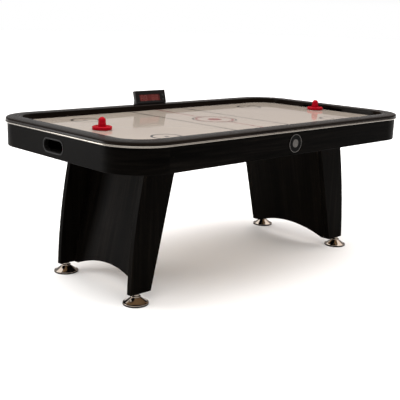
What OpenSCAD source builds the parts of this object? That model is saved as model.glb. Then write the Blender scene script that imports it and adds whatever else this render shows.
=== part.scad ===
// Air hockey table on two splayed pedestals, with a leaning scorer on its back rail.
// +X is the right end, +Y is the side with the scorer, +Z is up, and Z = 0 is the floor.

/* [Table] */
// Length over the rails
table_len = 2040; // [1500:5:2600]
// Width over the rails
table_wid = 1160; // [800:5:1400]
// Height of the rail tops above the floor
table_high = 810; // [700:5:860]
// Outside corner radius of the rails
corner_r = 215; // [150:5:300]
// Height of the playing surface
field_top = 780; // [700:1:800]
// Height of the cabinet's lower edge
apron_low = 670; // [600:5:720]
// Thickness of the apron boards
apron_t = 18; // [12:1:25]
// Width of a rail, from the trim's nose to its inner wall
rail_wid = 84; // [60:1:120]

/* [Edge trim] */
// Height of the silver edge trim
trim_high = 10; // [6:1:16]
// How far the trim stands out from the aprons
trim_out = 10; // [4:1:16]

/* [Goals] */
// Width of the goal mouth
goal_wid = 300; // [200:5:400]
// Height of the goal mouth
goal_high = 16; // [10:1:22]
// Width of the oval return opening
oval_wid = 160; // [120:2:220]
// Height of the oval return opening
oval_high = 60; // [40:1:80]

/* [Pedestals] */
// Thickness of a pedestal's side board
board_t = 30; // [18:1:40]
// Width of a pedestal over its side boards
pedestal_wid = 620; // [400:5:900]
// Height of a side board's lower end
board_low = 48; // [40:1:60]
// Where a side board's inner edge starts at the top, from the middle
inner_top = 535; // [400:5:700]
// Where a side board's inner edge ends at the bottom, from the middle
inner_low = 684; // [500:1:800]
// Radius of a side board's outer edge
outer_r = 3200; // [900:10:5000]
// How far the outer panel is hollowed between the boards
hollow = 16; // [0:1:20]
// Height of the arch under the panels
arch_top = 100; // [80:1:200]

/* [Levellers] */
// Radius of a leveller's base
foot_r = 61; // [30:1:80]
// Where a leveller stands, from the middle
foot_x = 764; // [600:1:900]

/* [Play set] */
// Radius of a pusher's base
pusher_r = 47.5; // [35:0.5:55]
// Height of a pusher
pusher_high = 62; // [45:1:80]
// Where the left pusher stands
pusher_left_x = -741; // [-850:1:-100]
// Where the right pusher stands
pusher_right_x = 865; // [100:1:870]
// Radius of a puck
puck_r = 32; // [25:1:40]

/* [Scorer] */
// Width of the scorer's head
scorer_wid = 226; // [150:1:300]
// Height of the scorer's head, along its face
scorer_high = 76; // [50:1:120]
// How far the head leans back, in degrees
scorer_lean = 14; // [0:1:30]
// Where the head's lower front edge stands
scorer_y = 538; // [520:1:560]

/* [Blower] */
// Radius of the blower's housing
blower_r = 80; // [50:1:120]
// Number of blades on the impeller
blades = 24; // [12:1:36]

/* [Hidden] */
$fn = 96;
half_len = table_len / 2;
half_wid = table_wid / 2;
run_len = half_len - corner_r;
run_wid = half_wid - corner_r;
apron_in = trim_out + apron_t;
trim_low = 784;
field_t = 12;
field_low = field_top - field_t;
floor_low = 680;
floor_t = 10;
floor_top = floor_low + floor_t;
gap = 0.5;
wall = 3;
oval_z = 727;
box_in = 137;
box_wid = 330;
tray_low = 698;
plate_t = 16;
board_top = floor_low - plate_t;
slant = atan((inner_low - inner_top) / (board_top - board_low));
panel_t = 9;
panel_wid = pedestal_wid - 2 * board_t;
foot_y = pedestal_wid / 2 - board_t / 2;
scorer_z = table_high + 5.5;
switch_x = 470;

BLACK = [0.07, 0.06, 0.06];
WOOD = [0.13, 0.11, 0.1];
SILVER = [0.78, 0.76, 0.72];
WHITE = [0.88, 0.87, 0.84];
RAW = [0.7, 0.58, 0.42];
PLASTIC = [0.1, 0.1, 0.11];
RED = [0.85, 0.04, 0.08];
CHROME = [0.85, 0.85, 0.86];
LENS = [0.3, 0.03, 0.03];

// ---- Shared shapes ----

// A flat plate with four true round corners, centred on the origin.
module round_plate(size_x, size_y, r, t) {
    union() {
        translate([-size_x / 2 + r, -size_y / 2, 0]) cube([size_x - 2 * r, size_y, t]);
        translate([-size_x / 2, -size_y / 2 + r, 0]) cube([size_x, size_y - 2 * r, t]);
        for (sx = [-1, 1], sy = [-1, 1])
            translate([sx * (size_x / 2 - r), sy * (size_y / 2 - r), 0]) cylinder(r = r, h = t);
    }
}

// A slot with round ends that lies along Y and is cut along X.
module oval_bar(wid, high, long) {
    r = high / 2;
    rotate([90, 0, 90]) translate([0, 0, -long / 2]) union() {
        translate([-wid / 2 + r, -r, 0]) cube([wid - high, high, long]);
        for (s = [-1, 1]) translate([s * (wid / 2 - r), 0, 0]) cylinder(r = r, h = long);
    }
}

// Places a part on one side's edge: its first axis points inwards from the trim's nose.
module on_side(side) {
    if (side == "front") translate([run_len, -half_wid, 0]) rotate([90, 0, 90]) mirror([0, 0, 1]) children();
    if (side == "back") translate([-run_len, half_wid, 0]) rotate([90, 0, -90]) mirror([0, 0, 1]) children();
    if (side == "left") translate([-half_len, -run_wid, 0]) rotate([90, 0, 0]) mirror([0, 0, 1]) children();
    if (side == "right") translate([half_len, run_wid, 0]) rotate([90, 0, 180]) mirror([0, 0, 1]) children();
}

function side_len(side) = (side == "front" || side == "back") ? 2 * run_len : 2 * run_wid;

// Sweeps a profile, drawn inwards from the trim's nose, round the four corners.
module at_corners() {
    for (sx = [-1, 1], sy = [-1, 1])
        translate([sx * run_len, sy * run_wid, 0]) rotate(sx * sy > 0 ? (sx > 0 ? 0 : 180) : (sx > 0 ? -90 : 90))
            rotate_extrude(angle = 90) translate([corner_r, 0]) mirror([1, 0]) children();
}

// ---- Cabinet ----

module apron_profile() {
    translate([trim_out, apron_low]) square([apron_t, trim_low - apron_low]);
}

module rail_profile() {
    difference() {
        polygon([[8, trim_low], [apron_in, trim_low], [apron_in, field_top], [rail_wid, field_top],
                 [rail_wid, table_high], [2, table_high], [2, trim_low + trim_high], [8, trim_low + trim_high]]);
        difference() {
            translate([1, table_high - 10]) square([11, 11]);
            translate([12, table_high - 10]) circle(r = 10);
        }
        difference() {
            translate([rail_wid - 4, table_high - 4]) square([5, 5]);
            translate([rail_wid - 4, table_high - 4]) circle(r = 4);
        }
    }
}

module trim_profile() {
    intersection() {
        union() {
            translate([trim_high / 2, trim_low + trim_high / 2]) circle(r = trim_high / 2);
            translate([trim_high / 2, trim_low]) square([8 - trim_high / 2, trim_high]);
        }
        translate([0, trim_low]) square([8, trim_high]);
    }
}

module plain_apron(side) {
    color(WOOD) on_side(side) linear_extrude(side_len(side)) apron_profile();
}

module end_apron(side, s) {
    color(WOOD) difference() {
        on_side(side) linear_extrude(side_len(side)) apron_profile();
        translate([s * (half_len - trim_out - apron_t / 2), 0, oval_z]) oval_bar(oval_wid, oval_high, 3 * apron_t);
    }
}

module back_board_apron() {
    color(WOOD) difference() {
        on_side("back") linear_extrude(side_len("back")) apron_profile();
        translate([switch_x - 26, half_wid - 60, oval_z - 13]) cube([52, 80, 26]);
    }
}

module long_rail(side) {
    color(BLACK) on_side(side) linear_extrude(side_len(side)) rail_profile();
}

module end_rail(side, s) {
    color(BLACK) difference() {
        on_side(side) linear_extrude(side_len(side)) rail_profile();
        translate([s > 0 ? half_len - rail_wid - 5 : -half_len + 34, -goal_wid / 2, field_top - 1])
            cube([rail_wid - 29, goal_wid, goal_high + 1]);
    }
}

module corner_aprons() { color(WOOD) at_corners() apron_profile(); }

module corner_rails() { color(BLACK) at_corners() rail_profile(); }

module corner_trims() { color(SILVER) at_corners() trim_profile(); }

module straight_trims() {
    color(SILVER) for (side = ["front", "back", "left", "right"])
        on_side(side) linear_extrude(side_len(side)) trim_profile();
}

module play_field() {
    inset = apron_in + gap;
    color(WHITE) difference() {
        translate([0, 0, field_low])
            round_plate(table_len - 2 * inset, table_wid - 2 * inset, corner_r - inset, field_t);
        for (s = [-1, 1])
            translate([s * (half_len - 50) - 30, -goal_wid / 2, field_low - 1]) cube([60, goal_wid, field_t + 2]);
    }
}

module bottom_board() {
    inset = apron_in + gap;
    color(RAW) difference() {
        translate([0, 0, floor_low])
            round_plate(table_len - 2 * inset, table_wid - 2 * inset, corner_r - inset, floor_t);
        translate([0, 0, floor_low - 1]) cylinder(r = 29, h = floor_t + 2);
        translate([92, 38, floor_low - 1]) cube([46, 36, floor_t + 2]);
        for (p = leg_bolt_places) translate([p.x, p.y, floor_low - 1]) cylinder(r = 4.1, h = floor_t + 2);
    }
}

module plenum_battens() {
    t = 18;
    inner = apron_in + gap;
    tall = field_low - floor_top;
    color(RAW) translate([0, 0, floor_top]) {
        for (s = [-1, 1]) {
            translate([-run_len, s > 0 ? half_wid - inner - t : -half_wid + inner, 0]) cube([2 * run_len, t, tall]);
            for (y = [-run_wid, 170]) translate([s > 0 ? half_len - inner - t : -half_len + inner, y, 0])
                cube([t, run_wid - 170, tall]);
        }
        for (sx = [-1, 1], sy = [-1, 1]) translate([sx * run_len, sy * run_wid, 0])
            rotate(sx * sy > 0 ? (sx > 0 ? 0 : 180) : (sx > 0 ? -90 : 90))
                rotate_extrude(angle = 90) translate([corner_r - inner - t, 0]) square([t, tall]);
    }
}

module plenum_ribs() {
    t = 18;
    reach = half_wid - apron_in - gap - t - gap;
    tall = field_low - floor_top;
    color(RAW) for (x = [-795, -600, -400, -170, 170, 400, 600, 795])
        difference() {
            translate([x - t / 2, -reach, floor_top]) cube([t, 2 * reach, tall]);
            if (abs(x) < 700) for (y = [-390, -130, 130, 390])
                translate([x - t, y - 40, floor_top - 1]) cube([2 * t, 80, 31]);
        }
}

// ---- Puck returns ----

module return_box(s) {
    outer = half_len - apron_in - gap;
    color(PLASTIC) difference() {
        translate([s > 0 ? outer - box_in : -outer, -box_wid / 2, tray_low])
            cube([box_in, box_wid, field_low - tray_low]);
        translate([s > 0 ? outer - box_in + wall : -outer + wall, -box_wid / 2 + wall, tray_low + wall])
            cube([box_in - 2 * wall, box_wid - 2 * wall, field_low - tray_low]);
        translate([s * outer, 0, oval_z]) oval_bar(oval_wid - 8, oval_high - 8, 12);
    }
}

module return_bezel(s) {
    face = half_len - trim_out;
    color(PLASTIC) difference() {
        union() {
            translate([s * (face + 1), 0, oval_z]) oval_bar(oval_wid + 12, oval_high + 12, 2);
            translate([s * (face - apron_t / 2), 0, oval_z]) oval_bar(oval_wid - 0.4, oval_high - 0.4, apron_t);
        }
        translate([s * (face - apron_t / 2), 0, oval_z]) oval_bar(oval_wid - 8, oval_high - 8, 3 * apron_t);
    }
}

// ---- Blower ----

blower_low = 606;

module blower_housing() {
    top = floor_low;
    color(PLASTIC) difference() {
        union() {
            translate([0, 0, blower_low + 6]) cylinder(r = blower_r, h = top - blower_low - 6);
            translate([0, 32, blower_low + 6]) cube([144, 48, top - blower_low - 6]);
            translate([-100, -100, top - 4]) cube([250, 200, 4]);
        }
        translate([0, 0, blower_low]) cylinder(r = blower_r - wall, h = top - blower_low - 4);
        translate([0, 35, blower_low + 9]) cube([141, 42, top - blower_low - 13]);
        translate([92, 38, top - 10]) cube([46, 36, 20]);
        cylinder(r = 26.2, h = 2 * top);
        for (p = blower_screw_places) translate([p.x, p.y, top - 10]) cylinder(r = 2.6, h = 20);
    }
}

module blower_grille() {
    color(PLASTIC) difference() {
        translate([0, 0, blower_low]) union() {
            difference() {
                cylinder(r = blower_r, h = 6);
                translate([0, 0, -1]) cylinder(r = 48, h = 8);
            }
            for (r = [12, 24, 36]) difference() {
                cylinder(r = r + 2, h = 3);
                translate([0, 0, -1]) cylinder(r = r, h = 5);
            }
            for (a = [0, 45, 90, 135]) rotate(a) translate([-50, -1.5, 0]) cube([100, 3, 3]);
        }
        translate([0, 0, blower_low - 1]) cylinder(r = 5, h = 8);
    }
}

module blower_motor() {
    color(SILVER) difference() {
        union() {
            translate([0, 0, 672]) cylinder(r = 26, h = 62);
            translate([0, 0, 664]) cylinder(r = 8, h = 9);
        }
        translate([0, 0, 660]) cylinder(r = 3.05, h = 66);
    }
}

module blower_impeller() {
    color(PLASTIC) {
        translate([0, 0, 640]) cylinder(r = 3, h = 85);
        translate([0, 0, 646]) cylinder(r = 10, h = 16);
        translate([0, 0, 659]) cylinder(r = 68, h = 3);
        translate([0, 0, 616]) difference() {
            cylinder(r = 68, h = 3);
            translate([0, 0, -1]) cylinder(r = 56, h = 5);
        }
        for (i = [0:blades - 1]) rotate(i * 360 / blades) translate([62, 0, 616]) rotate(35)
            translate([-6.5, -0.8, 0]) cube([13, 1.6, 45]);
    }
}

blower_screw_places = [for (x = [-88, 138], y = [-88, 88]) [x, y]];

module blower_screws() {
    color(CHROME) for (p = blower_screw_places) translate([p.x, p.y, 0]) {
        translate([0, 0, floor_low - 7]) cylinder(r = 4.5, h = 3);
        translate([0, 0, floor_low - 5]) cylinder(r = 2.5, h = 5);
    }
}

// ---- Pedestals ----

leg_bolt_places = [for (sx = [-1, 1], y = [-220, -80, 80, 220]) [sx * 670, y]];

// A side board: straight inner edge, bowed outer edge, with a bore for the leveller's insert.
module leg_board(s, t) {
    y0 = t > 0 ? pedestal_wid / 2 - board_t : -pedestal_wid / 2;
    bow_x = -2390.7;
    bow_z = -94.5;
    color(BLACK) difference() {
        intersection() {
            translate([0, y0 + board_t, 0]) rotate([90, 0, 0]) linear_extrude(board_t)
                polygon([[s * inner_low, board_low], [s * 900, board_low], [s * 900, board_top],
                         [s * inner_top, board_top]]);
            translate([s * bow_x, y0 - 1, bow_z]) rotate([-90, 0, 0]) cylinder(r = outer_r, h = board_t + 2, $fn = 512);
        }
        translate([s * foot_x, t * foot_y, board_low - 1]) cylinder(r = 8, h = 46);
    }
}

// What both panels are cut to: the pedestal's height, less the arch.
module panel_cut() {
    arch_half = panel_wid / 2 - 30;
    rise = arch_top - board_low;
    arch_r = (arch_half * arch_half + rise * rise) / (2 * rise);
    intersection() {
        children();
        difference() {
            translate([-1000, -panel_wid / 2, board_low]) cube([2000, panel_wid, board_top - board_low]);
            translate([-1000, 0, arch_top - arch_r]) rotate([0, 90, 0]) cylinder(r = arch_r, h = 2000, $fn = 256);
        }
    }
}

module leg_outer_panel(s) {
    half = panel_wid / 2;
    r = (half * half + hollow * hollow) / (2 * hollow);
    color(WOOD) panel_cut() mirror([s > 0 ? 0 : 1, 0, 0])
        translate([inner_low + 40, 0, board_low]) rotate([0, -slant, 0]) translate([r - hollow, 0, -40])
            difference() {
                cylinder(r = r + panel_t, h = 740, $fn = 256);
                translate([0, 0, -1]) cylinder(r = r, h = 742, $fn = 256);
                translate([-r + 100, -r - 50, -1]) cube([2 * r + 100, 2 * r + 100, 742]);
            }
}

module leg_inner_panel(s) {
    color(BLACK) panel_cut() mirror([s > 0 ? 0 : 1, 0, 0])
        translate([inner_low, -panel_wid / 2, board_low]) rotate([0, -slant, 0]) translate([0, 0, -40])
            cube([panel_t, panel_wid, 740]);
}

module leg_top_plates() {
    color(BLACK) difference() {
        for (s = [-1, 1]) translate([s > 0 ? inner_top - 8 : -inner_top - 192, -pedestal_wid / 2, board_top])
            cube([200, pedestal_wid, plate_t]);
        for (p = leg_bolt_places) translate([p.x, p.y, board_top - 1]) cylinder(r = 4.1, h = plate_t + 2);
    }
}

module leg_bolts() {
    color(CHROME) for (p = leg_bolt_places) translate([p.x, p.y, 0]) {
        translate([0, 0, board_top - 5.5]) cylinder(r = 7, h = 5.5, $fn = 6);
        translate([0, 0, board_top - 1]) cylinder(r = 4, h = plate_t + floor_t + 1);
    }
}

// ---- Levellers ----

module leveller(s, t) {
    color(CHROME) translate([s * foot_x, t * foot_y, 0]) union() {
        rotate_extrude() polygon([[0, 30], [foot_r - 7, 7], [foot_r - 7, 6], [foot_r, 6], [foot_r, 10],
                                  [22, 35], [16, 41], [15, 47.5], [0, 47.5]]);
        translate([0, 0, 40]) cylinder(r = 5, h = 46);
    }
}

module foot_pad(s, t) {
    color(BLACK) translate([s * foot_x, t * foot_y, 0]) cylinder(r = foot_r + 0.5, h = 6);
}

module leveller_inserts() {
    color(CHROME) for (s = [-1, 1], t = [-1, 1]) translate([s * foot_x, t * foot_y, board_low])
        difference() {
            cylinder(r = 8, h = 44);
            translate([0, 0, -1]) cylinder(r = 5.05, h = 46);
        }
}

// ---- Scorer ----

// Places what is drawn upright so that it leans back with the scorer's head.
module leaning() {
    translate([0, scorer_y, scorer_z]) rotate([-scorer_lean, 0, 0]) children();
}

window_x = -16;
window_wid = 172;
window_high = 44;
window_z = 9;
button_x = 92;
button_zs = [20, 44];

module scorer_foot() {
    z0 = table_high;
    color(PLASTIC) translate([-scorer_wid / 2 + 6, scorer_y, z0]) rotate([90, 0, 90])
        linear_extrude(scorer_wid - 12)
            polygon([[3, 0], [35, 0], [36, 6], [28.6, 33.5], [20.1, 0.5], [3, 4.5]]);
}

module scorer_case() {
    color(PLASTIC) leaning() difference() {
        translate([-scorer_wid / 2, 8, 0]) cube([scorer_wid, 12, scorer_high]);
        translate([-scorer_wid / 2 + 2.5, 7, 2.5]) cube([scorer_wid - 5, 10.5, scorer_high - 5]);
    }
}

module scorer_bezel() {
    color(PLASTIC) leaning() difference() {
        translate([-scorer_wid / 2, 0, 0]) cube([scorer_wid, 8, scorer_high]);
        translate([-scorer_wid / 2 + 2.5, 2.5, 2.5]) cube([scorer_wid - 5, 8, scorer_high - 5]);
        translate([window_x - window_wid / 2, -1, window_z]) cube([window_wid, 6, window_high]);
        for (z = button_zs) translate([button_x, -1, z]) rotate([-90, 0, 0]) cylinder(r = 5.1, h = 6);
    }
}

module scorer_window() {
    color(LENS) leaning()
        translate([window_x - window_wid / 2 - 3, 2.5, window_z - 3]) cube([window_wid + 6, 2, window_high + 6]);
}

module scorer_board() {
    color([0.1, 0.25, 0.12]) leaning() {
        translate([-104, 12, 5]) cube([208, 1.6, 66]);
        for (x = [-66, -38, 6, 34]) translate([x + window_x + 4, 6, 14]) cube([22, 6, 34]);
        for (z = button_zs) translate([button_x - 3, 9.5, z - 3]) cube([6, 2.5, 6]);
    }
}

module scorer_button(z) {
    color(SILVER) leaning() translate([button_x, 0, z]) rotate([-90, 0, 0]) {
        translate([0, 0, -2]) cylinder(r = 5, h = 6);
        translate([0, 0, 2.6]) cylinder(r = 7, h = 1.4);
        translate([0, 0, 3]) cylinder(r = 2, h = 4.5);
    }
}

// ---- Power switch and inlet ----

module power_plate() {
    y0 = half_wid - trim_out;
    color(PLASTIC) difference() {
        union() {
            translate([switch_x - 32, y0, oval_z - 17]) cube([64, 2, 34]);
            translate([switch_x - 25, y0 - apron_t, oval_z - 12]) cube([50, apron_t, 24]);
            translate([switch_x + 12, y0 + 1, oval_z]) rotate([-90, 0, 0]) cylinder(r = 7, h = 3);
        }
        translate([switch_x - 20.4, y0 - apron_t + 2, oval_z - 11]) cube([16.8, apron_t + 2, 22]);
        translate([switch_x + 12, y0 - 12, oval_z]) rotate([-90, 0, 0]) cylinder(r = 3, h = 20);
    }
}

module power_rocker() {
    color(RED) translate([switch_x - 12, half_wid - trim_out - 4, oval_z]) rotate([-8, 0, 0])
        intersection() {
            translate([-8, -6, -9.5]) cube([16, 15, 19]);
            rotate([0, 90, 0]) translate([0, 0, -10]) cylinder(r = 10.6, h = 20);
        }
}

// ---- Play set ----

module pusher(x) {
    knob_r = 19;
    dome = 14;
    color(RED) translate([x, 0, field_top + 2]) union() {
        rotate_extrude() difference() {
            union() {
                polygon([[0, 0], [pusher_r - 1, 0], [pusher_r, 1], [pusher_r, 9], [pusher_r - 2, 16],
                         [pusher_r - 5, 17.5], [pusher_r - 9, 16], [pusher_r - 14, 9], [knob_r + 4, 8],
                         [knob_r + 0.8, 14], [knob_r, 22], [knob_r, 30], [knob_r - 1, 33], [knob_r - 1, 44],
                         [0, 44]]);
                intersection() {
                    translate([0, pusher_high - 2 - knob_r + 1]) circle(r = knob_r - 1);
                    translate([0, 40]) square([knob_r, 40]);
                }
            }
            polygon([[-1, -1], [pusher_r - 12, -1], [pusher_r - 13, 5], [knob_r - 3, 5], [knob_r - 4, 40],
                     [0, 50], [-1, 50]]);
        }
    }
}

module pusher_felt(x) {
    color(WHITE) translate([x, 0, field_top + 0.3]) difference() {
        cylinder(r = pusher_r - 2, h = 1.7);
        translate([0, 0, -1]) cylinder(r = pusher_r - 11, h = 4);
    }
}

module puck(s) {
    color(RED) translate([s * 925, 0, tray_low + wall + 0.2]) rotate_extrude()
        polygon([[0, 0], [puck_r - 1, 0], [puck_r, 1], [puck_r, 4], [puck_r - 1, 5], [puck_r - 7, 5],
                 [puck_r - 8, 4.4], [0, 4.4]]);
}

module apron_badge() {
    r = 45;
    color(SILVER) translate([0, -half_wid + trim_out, oval_z]) rotate([90, 0, 0]) rotate_extrude()
        polygon([[0, 0], [r, 0], [r, 2], [r - 1, 3], [r - 5, 3], [r - 6, 1.5], [22, 1.5], [21, 3], [0, 3]]);
}

// ---- Nodes ----

plain_apron("front");  // front_apron
back_board_apron();  // back_apron
end_apron("left", -1);  // left_apron
end_apron("right", 1);  // right_apron
corner_aprons();
long_rail("front");  // front_rail
long_rail("back");  // back_rail
end_rail("left", -1);  // left_rail
end_rail("right", 1);  // right_rail
corner_rails();
straight_trims();
corner_trims();
play_field();
bottom_board();
plenum_battens();
plenum_ribs();
return_box(-1);  // left_return_box
return_box(1);  // right_return_box
return_bezel(-1);  // left_return_bezel
return_bezel(1);  // right_return_bezel
blower_housing();
blower_grille();
blower_motor();
blower_impeller();
blower_screws();
leg_board(-1, -1);  // left_leg_front_board
leg_board(-1, 1);  // left_leg_back_board
leg_board(1, -1);  // right_leg_front_board
leg_board(1, 1);  // right_leg_back_board
leg_outer_panel(-1);  // left_leg_outer_panel
leg_outer_panel(1);  // right_leg_outer_panel
leg_inner_panel(-1);  // left_leg_inner_panel
leg_inner_panel(1);  // right_leg_inner_panel
leg_top_plates();
leg_bolts();
leveller(-1, -1);  // left_front_leveller
leveller(-1, 1);  // left_back_leveller
leveller(1, -1);  // right_front_leveller
leveller(1, 1);  // right_back_leveller
foot_pad(-1, -1);  // left_front_foot_pad
foot_pad(-1, 1);  // left_back_foot_pad
foot_pad(1, -1);  // right_front_foot_pad
foot_pad(1, 1);  // right_back_foot_pad
leveller_inserts();
scorer_foot();
scorer_case();
scorer_bezel();
scorer_window();
scorer_board();
scorer_button(button_zs[1]);  // scorer_start_button
scorer_button(button_zs[0]);  // scorer_reset_button
power_plate();
power_rocker();
pusher(pusher_left_x);  // left_pusher
pusher_felt(pusher_left_x);  // left_pusher_felt
pusher(pusher_right_x);  // right_pusher
pusher_felt(pusher_right_x);  // right_pusher_felt
puck(-1);  // left_puck
puck(1);  // right_puck
apron_badge();
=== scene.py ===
"""Air hockey table: the visual pieces and finishes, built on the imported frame.

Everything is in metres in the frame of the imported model: +X is the table's right end, +Y the side
with the scorer, +Z up. Each sub-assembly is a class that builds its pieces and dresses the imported
nodes that are shown as they are.
"""

import logging
import math
from collections.abc import Iterable, Sequence
from dataclasses import dataclass, field
from enum import Enum

import bmesh
import bpy
from mathutils import Matrix, Vector


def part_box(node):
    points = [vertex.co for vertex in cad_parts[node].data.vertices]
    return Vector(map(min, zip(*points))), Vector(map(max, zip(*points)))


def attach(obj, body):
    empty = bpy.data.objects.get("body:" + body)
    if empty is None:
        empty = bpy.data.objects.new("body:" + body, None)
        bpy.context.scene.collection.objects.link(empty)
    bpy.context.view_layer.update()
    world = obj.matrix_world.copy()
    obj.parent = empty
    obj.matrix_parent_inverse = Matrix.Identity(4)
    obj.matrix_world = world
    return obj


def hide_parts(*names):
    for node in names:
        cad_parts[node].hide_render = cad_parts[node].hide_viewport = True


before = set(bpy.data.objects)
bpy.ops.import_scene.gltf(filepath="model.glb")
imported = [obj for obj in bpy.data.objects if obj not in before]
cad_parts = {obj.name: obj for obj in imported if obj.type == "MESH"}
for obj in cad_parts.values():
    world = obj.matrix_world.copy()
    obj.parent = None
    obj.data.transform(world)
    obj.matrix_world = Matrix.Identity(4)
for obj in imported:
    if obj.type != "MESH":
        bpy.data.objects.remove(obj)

log = logging.getLogger("air_hockey_table")
TABLE_BODY = "table"

Point = tuple[float, float]
Colour = tuple[float, float, float]


# ---- Shaders ----


class Grain(Enum):
    """Where a finish reads its pattern from."""

    SWEPT = "swept"
    ALONG_X = "x"
    ALONG_Y = "y"
    ALONG_Z = "z"


class Shader:
    """A node material under construction, with short calls for the nodes it needs."""

    def __init__(self, name: str, room: bool = False) -> None:
        """Starts a material that holds one Principled shader, or the room's own light.

        Args:
            name: The material's name.
            room: Whether it is the room's light.
        """
        self.material = bpy.data.worlds.new(name) if room else bpy.data.materials.new(name)
        self.material.use_nodes = True
        self.tree = self.material.node_tree
        self.surface = self.tree.nodes["Background" if room else "Principled BSDF"]

    def node(self, kind: str, **settings: object) -> bpy.types.Node:
        """Adds a node and sets its properties.

        Args:
            kind: The node's type without the leading "ShaderNode".
            **settings: Properties of the node.

        Returns:
            The new node.
        """
        made = self.tree.nodes.new("ShaderNode" + kind)
        for key, value in settings.items():
            setattr(made, key, value)
        return made

    def link(self, value: object, socket: bpy.types.NodeSocket) -> None:
        """Feeds a socket from another socket, or sets it to a constant.

        Args:
            value: An output socket, or a constant.
            socket: The input that takes it.
        """
        if isinstance(value, bpy.types.NodeSocket):
            self.tree.links.new(value, socket)
        else:
            socket.default_value = value

    def maths(self, operation: str, *values: object, clamp: bool = False) -> bpy.types.NodeSocket:
        """Adds a Math node.

        Args:
            operation: The node's operation.
            *values: Up to three sockets or numbers.
            clamp: Whether the result is held between 0 and 1.

        Returns:
            The result.
        """
        made = self.node("Math", operation=operation, use_clamp=clamp)
        for socket, value in zip(made.inputs, values):
            self.link(value, socket)
        return made.outputs[0]

    def smooth(self, value: object, low: float, high: float, start: float = 0.0,
               end: float = 1.0) -> bpy.types.NodeSocket:
        """Maps a value smoothly from one span to another.

        Args:
            value: The value to map.
            low: Where the result is start.
            high: Where the result is end.
            start: The result at low and below.
            end: The result at high and above.

        Returns:
            The mapped value.
        """
        made = self.node("MapRange", interpolation_type="SMOOTHSTEP")
        for index, item in enumerate((value, low, high, start, end)):
            self.link(item, made.inputs[index])
        return made.outputs[0]

    def place(self, grain: Grain, scale: Sequence[float]) -> bpy.types.NodeSocket:
        """Gives pattern coordinates whose first axis runs along the grain.

        Args:
            grain: Where the coordinates come from.
            scale: How finely each axis is divided, in repeats a metre.

        Returns:
            The coordinates.
        """
        if grain is Grain.SWEPT:
            source = self.node("Attribute", attribute_name="grain").outputs["Vector"]
        else:
            source = self.node("TexCoord").outputs["Object"]
        turns = {Grain.ALONG_Y: (0, 0, -math.pi / 2), Grain.ALONG_Z: (0, math.pi / 2, 0)}
        turned = self.node("Mapping")
        self.link(source, turned.inputs["Vector"])
        turned.inputs["Rotation"].default_value = turns.get(grain, (0, 0, 0))
        scaled = self.node("VectorMath", operation="MULTIPLY")
        self.link(turned.outputs[0], scaled.inputs[0])
        scaled.inputs[1].default_value = scale
        return scaled.outputs[0]

    def noise(self, where: bpy.types.NodeSocket, scale: float = 1.0, detail: float = 3.0,
              rough: float = 0.55, bend: float = 0.0) -> bpy.types.NodeSocket:
        """Adds a noise pattern.

        Args:
            where: The coordinates.
            scale: The pattern's scale.
            detail: How many finer layers are added.
            rough: How strong the finer layers are.
            bend: How far the pattern is distorted.

        Returns:
            The noise's strength, about 0 to 1.
        """
        made = self.node("TexNoise")
        self.link(where, made.inputs["Vector"])
        for key, value in (("Scale", scale), ("Detail", detail), ("Roughness", rough), ("Distortion", bend)):
            made.inputs[key].default_value = value
        return made.outputs[0]

    def blend(self, amount: object, first: object, second: object) -> bpy.types.NodeSocket:
        """Mixes two colours.

        Args:
            amount: 0 for the first colour, 1 for the second.
            first: A colour or a socket.
            second: A colour or a socket.

        Returns:
            The mixed colour.
        """
        made = self.node("Mix", data_type="RGBA")
        self.link(amount, made.inputs["Factor"])
        for socket, value in ((made.inputs[6], first), (made.inputs[7], second)):
            self.link((*value, 1.0) if isinstance(value, tuple) else value, socket)
        return made.outputs[2]

    def relief(self, height: bpy.types.NodeSocket, depth: float) -> None:
        """Roughens the surface by a height pattern.

        Args:
            height: The pattern, 0 to 1.
            depth: The height of a full step, in metres.
        """
        made = self.node("Bump")
        made.inputs["Strength"].default_value = 1.0
        made.inputs["Distance"].default_value = depth
        self.link(height, made.inputs["Height"])
        self.link(made.outputs[0], self.surface.inputs["Normal"])

    def set(self, **values: object) -> None:
        """Sets the shader's sockets.

        Args:
            **values: Socket names, with _ for a space, and a constant, colour or socket for each.
        """
        for key, value in values.items():
            socket = self.surface.inputs[key.replace("_", " ")]
            if isinstance(value, tuple) and len(value) == 3 and len(socket.default_value) == 4:
                value = (*value, 1.0)
            self.link(value, socket)


# ---- Finishes ----


@dataclass(frozen=True)
class Finish:
    """A surface finish. A subclass says what it looks like."""

    name: str
    slot: str

    def paint(self, shader: Shader) -> None:
        """Fills in the material under construction."""
        raise NotImplementedError

    def material(self) -> bpy.types.Material:
        """Gives the finish's material, which is made once.

        Returns:
            The material.
        """
        found = bpy.data.materials.get(self.name)
        if found is None:
            shader = Shader(self.name)
            self.paint(shader)
            found = shader.material
        return found


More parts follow.
